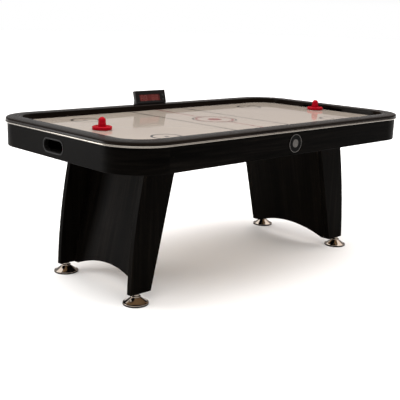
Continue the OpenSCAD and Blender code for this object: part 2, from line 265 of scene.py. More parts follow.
@dataclass(frozen=True)
class Laminate(Finish):
    """Dark wood-grain laminate: long pores and broad figure along the grain."""

    grain: Grain = Grain.SWEPT
    dark: Colour = (0.006, 0.005, 0.0045)
    light: Colour = (0.020, 0.016, 0.013)
    gloss: float = 0.42
    specular: float = 0.3

    def paint(self, shader: Shader) -> None:
        """Draws figure, pores and a slightly uneven sheen.

        Args:
            shader: The material under construction.
        """
        figure = shader.noise(shader.place(self.grain, (0.9, 11.0, 11.0)), 1.0, 3.0, 0.6, 1.2)
        streaks = shader.noise(shader.place(self.grain, (2.2, 95.0, 95.0)), 1.0, 4.0, 0.65)
        pores = shader.noise(shader.place(self.grain, (14.0, 620.0, 620.0)), 1.0, 2.0, 0.5)
        wood = shader.maths("MULTIPLY", shader.smooth(figure, 0.3, 0.72), shader.smooth(streaks, 0.25, 0.75))
        pore = shader.smooth(pores, 0.34, 0.46)
        tone = shader.maths("MULTIPLY", wood, shader.maths("MULTIPLY_ADD", pore, 0.5, 0.5))
        worn = shader.noise(shader.place(Grain.ALONG_X, (5.0, 5.0, 5.0)), 1.0, 2.0)
        rough = shader.maths("MULTIPLY_ADD", worn, 0.10, self.gloss - 0.05)
        rough = shader.maths("MULTIPLY_ADD", pore, -0.06, rough)
        shader.relief(shader.maths("MULTIPLY_ADD", streaks, 0.4, pore), 0.00004)
        shader.set(Base_Color=shader.blend(tone, self.dark, self.light), Roughness=rough)
        shader.set(Specular_IOR_Level=self.specular)


@dataclass(frozen=True)
class FieldSurface(Finish):
    """Glossy off-white playing surface with its printed lines, and its fine air holes painted on as dark dots
    of shade.
    """

    white: Colour = (0.415, 0.355, 0.300)
    red: Colour = (0.20, 0.004, 0.006)
    ink: Colour = (0.004, 0.004, 0.004)
    line: float = 0.0115
    zone_line_x: float = 0.195
    circle_r: float = 0.100
    outer_circle_r: float = 0.118
    spot_r: float = 0.038
    face_off: Point = (0.615, 0.325)
    face_off_r: float = 0.070
    face_off_spot: float = 0.0228
    soft_edge: float = 0.0003
    hole_pitch: float = 0.025
    hole_r: float = 0.0006

    def paint(self, shader: Shader) -> None:
        """Draws the lines, circles and spots by their distance from each point, and paints each air hole as a
        dark dot of shade.

        Args:
            shader: The material under construction.
        """
        split = shader.node("SeparateXYZ")
        shader.link(shader.node("TexCoord").outputs["Object"], split.inputs[0])
        x, y = split.outputs[0], split.outputs[1]
        wide, long = shader.maths("ABSOLUTE", y), shader.maths("ABSOLUTE", x)
        middle = self._distance(shader, long, wide, (0.0, 0.0))
        corner = self._distance(shader, long, wide, self.face_off)
        outside = shader.maths("GREATER_THAN", middle, self.circle_r)
        red = shader.maths("MULTIPLY", self._band(shader, long, 0.0, self.line), outside)
        red = shader.maths("MAXIMUM", red, self._band(shader, middle, self.circle_r, self.line))
        red = shader.maths("MAXIMUM", red, self._band(shader, middle, 0.0, self.spot_r * 2))
        ink = self._band(shader, long, self.zone_line_x, self.line)
        ink = shader.maths("MAXIMUM", ink, self._band(shader, middle, self.outer_circle_r, self.line * 0.7))
        ink = shader.maths("MAXIMUM", ink, self._band(shader, corner, self.face_off_r, self.line))
        ink = shader.maths("MAXIMUM", ink, self._band(shader, corner, 0.0, self.face_off_spot))
        hole = self._holes(shader, x, y)
        haze = shader.noise(shader.place(Grain.ALONG_X, (3.0, 3.0, 3.0)), 1.0, 3.0)
        scuffs = shader.noise(shader.place(Grain.ALONG_X, (9.0, 60.0, 9.0)), 1.0, 5.0, 0.7, 0.8)
        base = shader.blend(shader.smooth(haze, 0.3, 0.7), self.white, tuple(0.96 * c for c in self.white))
        base = shader.blend(red, base, self.red)
        base = shader.blend(ink, base, self.ink)
        # The air holes are not cut in the mesh: each is a near-black dot, painted shade standing in for the
        # dark inside of the hole.
        base = shader.blend(hole, base, (0.02, 0.02, 0.02))
        rough = shader.maths("MULTIPLY_ADD", shader.smooth(scuffs, 0.45, 0.8), 0.05, 0.085)
        shader.set(Base_Color=base, Roughness=rough, Specular_IOR_Level=0.5)
        shader.set(Coat_Weight=0.22, Coat_Roughness=0.04)

    def _distance(self, shader: Shader, x: bpy.types.NodeSocket, y: bpy.types.NodeSocket,
                  centre: Point) -> bpy.types.NodeSocket:
        """Gives each point's distance from a centre.

        Args:
            shader: The material under construction.
            x: The first coordinate.
            y: The second coordinate.
            centre: The centre.

        Returns:
            The distance, in metres.
        """
        dx = shader.maths("SUBTRACT", x, centre[0])
        dy = shader.maths("SUBTRACT", y, centre[1])
        square = shader.maths("ADD", shader.maths("MULTIPLY", dx, dx), shader.maths("MULTIPLY", dy, dy))
        return shader.maths("SQRT", square)

    def _band(self, shader: Shader, value: bpy.types.NodeSocket, centre: float,
              width: float) -> bpy.types.NodeSocket:
        """Gives 1 within half a width of a value and 0 outside it."""
        off = shader.maths("ABSOLUTE", shader.maths("SUBTRACT", value, centre))
        return shader.smooth(off, width / 2 - self.soft_edge, width / 2 + self.soft_edge, 1.0, 0.0)

    def _holes(self, shader: Shader, x: bpy.types.NodeSocket,
               y: bpy.types.NodeSocket) -> bpy.types.NodeSocket:
        """Gives 1 inside an air hole and 0 elsewhere: where the hole's dark inside is painted on as shade.

        Args:
            shader: The material under construction.
            x: The coordinate along the table.
            y: The coordinate across it.

        Returns:
            The holes.
        """
        cells = [shader.maths("WRAP", axis, self.hole_pitch / 2, -self.hole_pitch / 2) for axis in (x, y)]
        off = self._distance(shader, *cells, (0.0, 0.0))
        return shader.smooth(off, self.hole_r * 0.8, self.hole_r, 1.0, 0.0)


@dataclass(frozen=True)
class Metal(Finish):
    """Bare or plated metal with fine lines along its length and faint smudges."""

    colour: Colour = (0.78, 0.75, 0.70)
    gloss: float = 0.2
    lines: Grain = Grain.ALONG_X
    brushed: float = 0.05

    def paint(self, shader: Shader) -> None:
        """Varies the gloss by lines and smudges.

        Args:
            shader: The material under construction.
        """
        lines = shader.noise(shader.place(self.lines, (6.0, 900.0, 900.0)), 1.0, 2.0)
        smudge = shader.noise(shader.place(Grain.ALONG_X, (18.0, 18.0, 18.0)), 1.0, 3.0)
        rough = shader.maths("MULTIPLY_ADD", lines, self.brushed, self.gloss - self.brushed / 2)
        rough = shader.maths("MULTIPLY_ADD", shader.smooth(smudge, 0.4, 0.75), 0.05, rough, clamp=True)
        dulled = tuple(0.9 * c for c in self.colour)
        tint = shader.blend(shader.smooth(smudge, 0.35, 0.8), self.colour, dulled)
        shader.relief(lines, 0.000004)
        shader.set(Base_Color=tint, Roughness=rough, Metallic=1.0)


@dataclass(frozen=True)
class Plastic(Finish):
    """Moulded plastic with a fine spark-eroded or polished surface."""

    colour: Colour = (0.012, 0.012, 0.013)
    gloss: float = 0.45
    texture: float = 0.00003
    texture_scale: float = 1400.0
    coat: float = 0.0
    specular: float = 0.5

    def paint(self, shader: Shader) -> None:
        """Draws the surface texture, slight colour drift and handling marks.

        Args:
            shader: The material under construction.
        """
        where = shader.place(Grain.ALONG_X, (1.0, 1.0, 1.0))
        pits = shader.noise(where, self.texture_scale, 2.0, 0.6)
        drift = shader.noise(where, 7.0, 3.0)
        marks = shader.smooth(shader.noise(where, 38.0, 5.0, 0.7, 0.6), 0.52, 0.78)
        deeper = tuple(0.86 * c for c in self.colour)
        shade = shader.blend(shader.smooth(drift, 0.3, 0.7), self.colour, deeper)
        rough = shader.maths("MULTIPLY_ADD", marks, 0.07, self.gloss)
        shader.relief(pits, self.texture)
        shader.set(Base_Color=shade, Roughness=rough, Specular_IOR_Level=self.specular)
        shader.set(Coat_Weight=self.coat, Coat_Roughness=0.06)


@dataclass(frozen=True)
class Fibreboard(Finish):
    """Raw fibreboard: pale brown, matt, with short fibres and darker flecks."""

    def paint(self, shader: Shader) -> None:
        """Draws fibres, flecks and a soft blotchy tone.

        Args:
            shader: The material under construction.
        """
        where = shader.place(Grain.ALONG_X, (1.0, 1.0, 1.0))
        fibres = shader.noise(shader.place(Grain.ALONG_X, (160.0, 420.0, 420.0)), 1.0, 3.0, 0.6, 0.7)
        flecks = shader.smooth(shader.noise(where, 230.0, 3.0, 0.7), 0.62, 0.72)
        blotch = shader.noise(where, 6.0, 3.0)
        base = shader.blend(shader.smooth(fibres, 0.3, 0.7), (0.30, 0.20, 0.11), (0.38, 0.27, 0.16))
        base = shader.blend(shader.maths("MULTIPLY", blotch, 0.35), base, (0.24, 0.155, 0.085))
        base = shader.blend(shader.maths("MULTIPLY", flecks, 0.5), base, (0.13, 0.08, 0.045))
        shader.relief(fibres, 0.00012)
        shader.set(Base_Color=base, Roughness=0.85, Specular_IOR_Level=0.2)


@dataclass(frozen=True)
class Felt(Finish):
    """Pressed white felt with a matted nap."""

    def paint(self, shader: Shader) -> None:
        """Draws the nap as fine curled noise.

        Args:
            shader: The material under construction.
        """
        where = shader.place(Grain.ALONG_X, (1.0, 1.0, 1.0))
        nap = shader.noise(where, 900.0, 4.0, 0.75, 1.5)
        base = shader.blend(nap, (0.62, 0.60, 0.56), (0.80, 0.79, 0.75))
        shader.relief(nap, 0.0004)
        shader.set(Base_Color=base, Roughness=0.95, Sheen_Weight=0.5, Sheen_Roughness=0.5)


@dataclass(frozen=True)
class DisplayWindow(Finish):
    """Dark red display window with a faintly uneven tint."""

    def paint(self, shader: Shader) -> None:
        """Shades the window's tint in soft clouds.

        Args:
            shader: The material under construction.
        """
        where = shader.place(Grain.ALONG_X, (1.0, 1.0, 1.0))
        cloud = shader.noise(where, 14.0, 2.0)
        base = shader.blend(shader.smooth(cloud, 0.3, 0.7), (0.055, 0.005, 0.0045), (0.100, 0.010, 0.008))
        shader.set(Base_Color=base, Roughness=0.16, Coat_Weight=0.25, Coat_Roughness=0.03)


@dataclass(frozen=True)
class Circuit(Finish):
    """Green circuit board with paler tracks."""

    def paint(self, shader: Shader) -> None:
        """Draws a track pattern by a cell pattern's edges.

        Args:
            shader: The material under construction.
        """
        cells = shader.node("TexVoronoi", feature="DISTANCE_TO_EDGE", distance="CHEBYCHEV")
        shader.link(shader.place(Grain.ALONG_X, (1.0, 1.0, 1.0)), cells.inputs["Vector"])
        cells.inputs["Scale"].default_value = 120.0
        track = shader.smooth(cells.outputs[0], 0.04, 0.07, 1.0, 0.0)
        shader.relief(track, 0.00005)
        shader.set(Base_Color=shader.blend(track, (0.01, 0.07, 0.025), (0.03, 0.16, 0.06)), Roughness=0.35)


RAIL = Laminate("rail_laminate", "black_laminate", Grain.SWEPT, gloss=0.32, specular=0.045,
                dark=(0.0030, 0.0016, 0.0008), light=(0.0120, 0.0074, 0.0042))
APRON = Laminate("apron_laminate", "grain_laminate", Grain.SWEPT, specular=0.008,
                 dark=(0.0004, 0.0003, 0.0002), light=(0.0072, 0.0058, 0.0047))
BOARD = Laminate("board_laminate", "black_laminate", Grain.SWEPT, specular=0.008,
                 dark=(0.0010, 0.0008, 0.0006), light=(0.0062, 0.0049, 0.0038))
PANEL = Laminate("panel_laminate", "grain_laminate", Grain.SWEPT, specular=0.010,
                 dark=(0.0014, 0.0011, 0.0009), light=(0.0086, 0.0068, 0.0055))
PLATE = Laminate("plate_laminate", "black_laminate", Grain.ALONG_Y, specular=0.1)
FIELD = FieldSurface("field_surface", "white_field")
TRIM = Metal("edge_trim", "silver_trim", (0.22, 0.20, 0.175), 0.17, Grain.SWEPT, 0.06)
CHROME = Metal("polished_chrome", "chrome", (0.30, 0.255, 0.215), 0.05, Grain.ALONG_Z, 0.01)
STEEL = Metal("zinc_steel", "steel", (0.55, 0.56, 0.57), 0.32, Grain.ALONG_X, 0.12)
BADGE = Metal("badge_metal", "steel", (0.070, 0.066, 0.062), 0.24, Grain.ALONG_X, 0.15)
BADGE_BLACK = Plastic("badge_enamel", "black_plastic", (0.0025, 0.0025, 0.0025), 0.22, 0.00001, 600.0,
                      specular=0.02)
BLACK = Plastic("black_moulding", "black_plastic", (0.0035, 0.0032, 0.0030), 0.42, specular=0.05)
CASE = Plastic("scorer_moulding", "black_plastic", (0.006, 0.0045, 0.004), 0.34, 0.00002, 1800.0,
               specular=0.2)
RUBBER = Plastic("foot_rubber", "rubber", (0.004, 0.004, 0.004), 0.7, 0.00012, 500.0, specular=0.05)
RED = Plastic("red_moulding", "red_plastic", (0.360, 0.0030, 0.0110), 0.20, 0.000006, 260.0, specular=0.03)
GREY = Plastic("grey_moulding", "grey_plastic", (0.030, 0.029, 0.028), 0.35)
GHOST = Plastic("unlit_segment", "red_lens", (0.23, 0.034, 0.024), 0.3, 0.000002, 900.0, 0.6)
WOOD_RAW = Fibreboard("raw_fibreboard", "raw_board")
FELT = Felt("white_felt", "felt")
WINDOW = DisplayWindow("display_window", "red_lens")
CIRCUIT = Circuit("circuit_board", "circuit")


# ---- Mesh work ----


def arc(centre: Point, radius: float, start: float, end: float, steps: int = 6) -> list[Point]:
    """Gives the points of an arc, both ends included, from one angle in degrees to another."""
    angles = (math.radians(start + (end - start) * i / steps) for i in range(steps + 1))
    return [(centre[0] + radius * math.cos(a), centre[1] + radius * math.sin(a)) for a in angles]


@dataclass
class Shape:
    """Points, faces and grain coordinates of a mesh in the making."""

    points: list[Vector] = field(default_factory=list)
    faces: list[Sequence[int]] = field(default_factory=list)
    grain: list[Vector] = field(default_factory=list)

    def add(self, point: Iterable[float], grain: Iterable[float] = (0.0, 0.0, 0.0)) -> int:
        """Adds a point.

        Args:
            point: Where it is.
            grain: Its place in the grain pattern.

        Returns:
            The point's number.
        """
        self.points.append(Vector(point))
        self.grain.append(Vector(grain))
        return len(self.points) - 1

    def mesh(self, name: str, sharp: float) -> bpy.types.Mesh:
        """Makes the mesh, with smooth faces and sharp edges where it bends.

        Args:
            name: The mesh's name.
            sharp: The bend above which an edge is sharp, in degrees.

        Returns:
            The mesh.
        """
        made = bpy.data.meshes.new(name)
        made.from_pydata(self.points, [], self.faces)
        work = bmesh.new()
        work.from_mesh(made)
        bmesh.ops.recalc_face_normals(work, faces=work.faces)
        work.to_mesh(made)
        work.free()
        layer = made.attributes.new("grain", "FLOAT_VECTOR", "POINT")
        layer.data.foreach_set("vector", [c for g in self.grain for c in g])
        soften(made, sharp)
        return made


def soften(mesh: bpy.types.Mesh, sharp: float) -> None:
    """Shades a mesh smooth, with sharp edges where it bends by more than an angle in degrees."""
    mesh.shade_smooth()
    mesh.set_sharp_from_angle(angle=math.radians(sharp))


def show(name: str, mesh: bpy.types.Mesh, finish: Finish, body: str = TABLE_BODY,
         stands_for: Sequence[str] = ()) -> bpy.types.Object:
    """Adds a piece to the scene.

    Args:
        name: The piece's name.
        mesh: Its mesh.
        finish: Its finish.
        body: The body it rides on.
        stands_for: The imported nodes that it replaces.

    Returns:
        The piece.
    """
    piece = bpy.data.objects.new(name, mesh)
    bpy.context.scene.collection.objects.link(piece)
    mesh.materials.clear()
    mesh.materials.append(finish.material())
    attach(piece, body)
    if stands_for:
        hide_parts(*stands_for)
    return piece


def round_edges(piece: bpy.types.Object, width: float, steps: int = 3, weld: bool = False) -> None:
    """Rounds a piece's hard edges.

    Args:
        piece: The piece.
        width: The rounding's width.
        steps: How many faces a rounding has.
        weld: Whether points at one place are joined first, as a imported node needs.
    """
    if weld:
        joined = piece.modifiers.new("weld", "WELD")
        joined.merge_threshold = 1e-5
    bevel = piece.modifiers.new("round", "BEVEL")
    bevel.width = width
    bevel.segments = steps
    bevel.limit_method = "ANGLE"
    bevel.angle_limit = math.radians(40)
    bevel.use_clamp_overlap = True
    even = piece.modifiers.new("even", "WEIGHTED_NORMAL")
    even.keep_sharp = False


def dress(node: str, finish: Finish, rounding: float = 0.0) -> bpy.types.Object:
    """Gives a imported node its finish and, if asked, rounded edges.

    Args:
        node: The node's name.
        finish: Its finish.
        rounding: The width of its edges' rounding.

    Returns:
        The node's object.
    """
    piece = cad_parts[node]
    material = finish.material()
    for slot in piece.material_slots:
        slot.material = material
    if rounding:
        round_edges(piece, rounding, 2, weld=True)
    return piece


def cut(piece: bpy.types.Object, tools: Iterable[bpy.types.Mesh], sharp: float) -> None:
    """Cuts other shapes out of a piece's mesh.

    Args:
        piece: The piece, which has no modifiers yet.
        tools: The shapes to cut out.
        sharp: The bend above which an edge is sharp, in degrees.
    """
    for number, tool in enumerate(tools):
        cutter = bpy.data.objects.new(f"{piece.name}_cutter_{number}", tool)
        bpy.context.scene.collection.objects.link(cutter)
        step = piece.modifiers.new("cut", "BOOLEAN")
        step.object = cutter
        step.solver = "EXACT"
        bpy.context.view_layer.update()
        seen = piece.evaluated_get(bpy.context.evaluated_depsgraph_get())
        finished = bpy.data.meshes.new_from_object(seen)
        piece.modifiers.clear()
        piece.data = finished
        bpy.data.objects.remove(cutter)
    soften(piece.data, sharp)


def lathe(profile: Sequence[Point], centre: Vector, axis: Vector = Vector((0, 0, 1)), steps: int = 72,
          sharp: float = 38.0, name: str = "turned") -> bpy.types.Mesh:
    """Turns a profile about an axis.

    Args:
        profile: Radius and height of each point.
        centre: The place of height 0 on the axis.
        axis: The axis.
        steps: How many faces go round.
        sharp: The bend above which an edge is sharp, in degrees.
        name: The mesh's name.

    Returns:
        The mesh.
    """
    turn = axis.to_track_quat("Z", "Y")
    shape = Shape()
    rings: list[list[int]] = []
    for radius, height in profile:
        count = 1 if radius < 1e-7 else steps
        ring = []
        for i in range(count):
            a = 2 * math.pi * i / steps
            local = Vector((radius * math.cos(a), radius * math.sin(a), height))
            ring.append(shape.add(centre + turn @ local, (a * 0.05, height, radius)))
        rings.append(ring)
    closed = len(rings[0]) > 1 and len(rings[-1]) > 1
    pairs = list(zip(rings, rings[1:] + (rings[:1] if closed else [])))
    for low, high in pairs if closed else pairs[:len(rings) - 1]:
        for i in range(steps):
            j = (i + 1) % steps
            corners = [low[i % len(low)], low[j % len(low)], high[j % len(high)], high[i % len(high)]]
            face = list(dict.fromkeys(corners))
            if len(face) > 2:
                shape.faces.append(face)
    return shape.mesh(name, sharp)


def block(low: Sequence[float], high: Sequence[float], place: Matrix = Matrix(),
          name: str = "block") -> bpy.types.Mesh:
    """Makes a box, whose edges a piece then rounds.

    Args:
        low: Its lowest corner.
        high: Its highest corner.
        place: Where it is put.
        name: The mesh's name.

    Returns:
        The mesh.
    """
    shape = Shape()
    for i in range(8):
        corner = Vector((high if i & 1 << axis else low)[axis] for axis in range(3))
        shape.add(place @ corner, (corner.x, corner.z, corner.y))
    shape.faces = [(0, 1, 3, 2), (4, 5, 7, 6), (0, 1, 5, 4), (2, 3, 7, 6), (0, 2, 6, 4), (1, 3, 7, 5)]
    return shape.mesh(name, 30)


def stadium(width: float, height: float, steps: int = 16) -> list[Point]:
    """Gives the outline of a slot with round ends.

    Args:
        width: Its width over the round ends.
        height: Its height.
        steps: How many chords each end has.

    Returns:
        The outline, once round.
    """
    r = height / 2
    reach = width / 2 - r
    return arc((reach, 0), r, -90, 90, steps) + arc((-reach, 0), r, 90, 270, steps)


# ---- The rim: rails, aprons and trim ----


@dataclass(frozen=True)
class Station:
    """A place on the table's outer edge: the trim's nose and the way inwards."""

    nose: Vector
    inward: Vector
    travelled: float


class Side(Enum):
    """The four straight sides, in order round the table."""

    FRONT = 0
    RIGHT = 1
    BACK = 2
    LEFT = 3


@dataclass
class Rim:
    """The table's edge: everything that runs round it, swept side by side and corner by corner."""

    trim_out: float = 0.010
    apron_thick: float = 0.018
    corner_steps: int = 28
    trim_high: float = 0.010
    edge_round: float = 0.010
    lip_round: float = 0.004
    goal_wide: float = 0.300
    goal_high: float = 0.016
    goal_round: float = 0.005
    goal_depth: float = 0.034
    oval_wide: float = 0.160
    oval_high: float = 0.060
    rebate: float = 0.008
    overlap: float = 0.01
    side_shift: float = 0.37
    corner_shift: float = 0.61
    half_len: float = field(init=False)
    half_wid: float = field(init=False)
    corner_r: float = field(init=False)
    top: float = field(init=False)
    low: float = field(init=False)
    apron_low: float = field(init=False)
    field_top: float = field(init=False)
    inner: float = field(init=False)

    def __post_init__(self) -> None:
        """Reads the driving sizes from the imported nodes."""
        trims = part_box("corner_trims")[1]
        self.half_len, self.half_wid = trims.x, trims.y
        self.corner_r = trims.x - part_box("front_rail")[1].x
        self.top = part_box("front_rail")[1].z
        self.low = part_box("straight_trims")[0].z
        self.apron_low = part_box("front_apron")[0].z
        self.field_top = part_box("play_field")[1].z
        self.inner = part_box("front_rail")[1].y + self.half_wid

    def straight(self, side: Side) -> list[Station]:
        """Gives the two ends of a straight side.

        Args:
            side: The side.

        Returns:
            Its start and its end.
        """
        run, rise = self.half_len - self.corner_r, self.half_wid - self.corner_r
        along = run if side in (Side.FRONT, Side.BACK) else rise
        out = self.half_wid if side in (Side.FRONT, Side.BACK) else self.half_len
        turn = Matrix.Rotation(math.pi / 2 * side.value, 3, "Z")
        inward = turn @ Vector((0, 1, 0))
        offset = self.side_shift * side.value
        return [Station(turn @ Vector((s * along, -out, 0)), inward, s * along + offset) for s in (-1, 1)]

    def corner(self, side: Side) -> list[Station]:
        """Gives the stations of the corner that follows a side.

        Args:
            side: The side before the corner.

        Returns:
            The stations, both ends included.
        """
        run, rise = self.half_len - self.corner_r, self.half_wid - self.corner_r
        signs = {Side.FRONT: (1, -1), Side.RIGHT: (1, 1), Side.BACK: (-1, 1), Side.LEFT: (-1, -1)}[side]
        centre = Vector((signs[0] * run, signs[1] * rise, 0))
        stations = []
        for i in range(self.corner_steps + 1):
            a = math.pi / 2 * (side.value - 1 + i / self.corner_steps)
            out = Vector((math.cos(a), math.sin(a), 0))
            travelled = self.corner_r * a + self.corner_shift * side.value
            stations.append(Station(centre + out * self.corner_r, -out, travelled))
        return stations

    def sweep(self, profile: Sequence[Point], stations: Sequence[Station], name: str,
              sharp: float = 32.0) -> bpy.types.Mesh:
        """Sweeps a profile along the edge.

        Args:
            profile: How far in from the trim's nose and how high each point is.
            stations: The places along the edge.
            name: The mesh's name.
            sharp: The bend above which an edge is sharp, in degrees.

        Returns:
            The mesh, closed at both ends.
        """
        shape = Shape()
        count = len(profile)
        for station in stations:
            around = 0.0
            for i, (depth, height) in enumerate(profile):
                around += math.dist(profile[i], profile[i - 1]) if i else 0.0
                place = station.nose + station.inward * depth + Vector((0, 0, height))
                shape.add(place, (station.travelled, around, 0.0))
        for s in range(len(stations) - 1):
            for i in range(count):
                j = (i + 1) % count
                a, b = s * count, (s + 1) * count
                shape.faces.append((a + i, a + j, b + j, b + i))
        shape.faces.append(range(count))
        shape.faces.append([len(stations) * count - 1 - i for i in range(count)])
        return shape.mesh(name, sharp)

    def rail_profile(self) -> list[Point]:
        """Gives a rail's section: rebate for the trim, rounded nose, flat top, inner wall.

        Returns:
            The section's points, inwards and up.
        """
        r, lip = self.edge_round, self.lip_round
        ledge = self.trim_out + self.apron_thick
        groove = self.low + self.trim_high
        return [(self.rebate, self.low), (self.rebate, groove), (0.0028, groove), (0.002, groove + 0.0008),
                *arc((0.002 + r, self.top - r), r, 180, 90, 8),
                *arc((self.inner - lip, self.top - lip), lip, 90, 0, 5),
                (self.inner, self.field_top), (ledge, self.field_top), (ledge, self.low)]

    def apron_profile(self) -> list[Point]:
        """Gives an apron's section: a board with its edges eased.

        Returns:
            The section's points, inwards and up.
        """
        ease = 0.0012
        near, far = self.trim_out, self.trim_out + self.apron_thick
        return [(near + ease, self.apron_low), (near, self.apron_low + ease), (near, self.low),
                (far, self.low), (far, self.apron_low + ease), (far - ease, self.apron_low)]

    def trim_profile(self) -> list[Point]:
        """Gives the trim's section: a bulging nose with a lip above and below.

        Returns:
            The section's points, inwards and up.
        """
        r = self.trim_high / 2
        return [(self.rebate, self.low), *arc((r, self.low + r), r, 270, 90, 12),
                (self.rebate, self.low + self.trim_high)]

    def goal_tool(self, sign: int) -> bpy.types.Mesh:
        """Gives the space that a goal mouth takes out of an end rail.

        Args:
            sign: The end's direction along X.

        Returns:
            The space's mesh.
        """
        half, r = self.goal_wide / 2, self.goal_round
        top = self.field_top + self.goal_high
        outline = [(-half, self.field_top - 0.001), (half, self.field_top - 0.001)]
        outline += arc((half - r, top - r), r, 0, 90) + arc((r - half, top - r), r, 90, 180)
        inside, outside = self.half_len - self.inner - self.overlap, self.half_len - self.goal_depth
        return prism(outline, Vector((sign, 0, 0)), inside, outside)

    def oval_tool(self, sign: int) -> bpy.types.Mesh:
        """Gives the space that a return opening takes out of an end apron.

        Args:
            sign: The end's direction along X.

        Returns:
            The space's mesh.
        """
        low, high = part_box("left_return_bezel")
        middle = (low.z + high.z) / 2
        outline = [(y, z + middle) for y, z in stadium(self.oval_wide, self.oval_high)]
        return prism(outline, Vector((sign, 0, 0)), self.half_len - 0.06, self.half_len + self.overlap)

    def build(self) -> None:
        """Builds the rails, the aprons and the trim."""
        names = {Side.FRONT: "front", Side.RIGHT: "right", Side.BACK: "back", Side.LEFT: "left"}
        corners = {Side.FRONT: "front_right", Side.RIGHT: "back_right", Side.BACK: "back_left",
                   Side.LEFT: "front_left"}
        for side, name in names.items():
            sign = {Side.RIGHT: 1, Side.LEFT: -1}.get(side, 0)
            ends = self.straight(side)
            rail = show(f"{name}_rail_board", self.sweep(self.rail_profile(), ends, name), RAIL,
                        stands_for=[f"{name}_rail"])
            apron = show(f"{name}_apron_board", self.sweep(self.apron_profile(), ends, name), APRON,
                         stands_for=[f"{name}_apron"])
            show(f"{name}_trim_strip", self.sweep(self.trim_profile(), ends, name), TRIM,
                 stands_for=["straight_trims"])
            if sign:
                cut(rail, [self.goal_tool(sign)], 32)
                cut(apron, [self.oval_tool(sign)], 32)
            if side is Side.BACK:
                low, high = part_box("power_plate")
                margin = Vector((0.006, 0, 0.004))
                tool = block(low + margin - Vector((0, 0.02, 0)), high - margin + Vector((0, 0.02, 0)))
                cut(apron, [tool], 32)
        for side, name in corners.items():
            arcs = self.corner(side)
            show(f"{name}_corner_rail", self.sweep(self.rail_profile(), arcs, name), RAIL,
                 stands_for=["corner_rails"])
            show(f"{name}_corner_apron", self.sweep(self.apron_profile(), arcs, name), APRON,
                 stands_for=["corner_aprons"])
            show(f"{name}_corner_trim", self.sweep(self.trim_profile(), arcs, name), TRIM,
                 stands_for=["corner_trims"])
        log.info("rim: rails, aprons and trim on 4 sides and 4 corners")


def prism(outline: Sequence[Point], axis: Vector, start: float, end: float,
          name: str = "prism") -> bpy.types.Mesh:
    """Makes a prism whose outline lies across a level axis.

    Args:
        outline: Across and height of each point.
        axis: The prism's direction, along X or Y.
        start: Where it starts along the axis.
        end: Where it ends.
        name: The mesh's name.

    Returns:
        The mesh.
    """
    across = Vector((0, 0, 1)).cross(axis)
    shape = Shape()
    for along in (start, end):
        for a, z in outline:
            shape.add(axis * along + across * a + Vector((0, 0, z)), (a, z, along))
    count = len(outline)
    shape.faces = [(i, (i + 1) % count, count + (i + 1) % count, count + i) for i in range(count)]
    shape.faces += [list(range(count))[::-1], list(range(count, 2 * count))]
    return shape.mesh(name, 35)


# ---- Puck returns, field and plenum ----


@dataclass
class Cabinet:
    """What the rim holds: the field, the plenum, the puck returns and the power plate."""

    bezel_lip: float = 0.006
    bezel_bore: float = 0.004
    bezel_out: float = 0.002

    def bezel(self, name: str, sign: int) -> None:
        """Builds the rounded ring in a return opening.

        Args:
            name: "left" or "right".
            sign: The end's direction along X.
        """
        low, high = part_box(f"{name}_return_bezel")
        middle = Vector((0, 0, (low.z + high.z) / 2))
        outer = max(abs(low.x), abs(high.x))
        inner = min(abs(low.x), abs(high.x))
        face = outer - self.bezel_out
        wide, tall = high.y - low.y, high.z - low.z
        bore = self.bezel_lip + self.bezel_bore
        section = [(0.0, face), (0.0004, face + 0.0012), (0.0018, outer - 0.0002), (0.003, outer),
                   (bore - 0.003, outer - 0.0002), (bore - 0.001, face + 0.0006), (bore, face - 0.002),
                   (bore, inner), (self.bezel_lip + 0.0002, inner), (self.bezel_lip + 0.0002, face)]
        shape = Shape()
        rings = [stadium(wide - 2 * inset, tall - 2 * inset) for inset, _ in section]
        for (inset, along), ring in zip(section, rings):
            for i, (y, z) in enumerate(ring):
                shape.add(middle + Vector((sign * along, y, z)), (i * 0.01, inset, along))
        count = len(rings[0])
        for s in range(len(section)):
            a, b = s * count, (s + 1) % len(section) * count
            for i in range(count):
                j = (i + 1) % count
                shape.faces.append((a + i, a + j, b + j, b + i))
        show(f"{name}_bezel_ring", shape.mesh(name, 40), BLACK, stands_for=[f"{name}_return_bezel"])

    def build(self) -> None:
        """Dresses the field and the plenum and builds the bezels."""
        dress("play_field", FIELD)
        for node in ("bottom_board", "plenum_battens", "plenum_ribs"):
            dress(node, WOOD_RAW, 0.0006)
        for name, sign in (("left", -1), ("right", 1)):
            dress(f"{name}_return_box", BLACK, 0.0012)
            self.bezel(name, sign)
        dress("power_plate", BLACK, 0.0006)
        dress("power_rocker", RED, 0.0008)
        log.info("cabinet: field, plenum, returns and power plate")


@dataclass
class Blower:
    """The fan under the middle of the table."""

    def build(self) -> None:
        """Dresses the blower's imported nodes."""
        dress("blower_housing", BLACK, 0.0012)
        dress("blower_grille", BLACK, 0.0006)
        dress("blower_motor", STEEL, 0.0008)
        dress("blower_impeller", BLACK, 0.0003)
        dress("blower_screws", STEEL, 0.0005)
        log.info("blower: housing, grille, motor, impeller and screws")


# ---- Pedestals and levellers ----


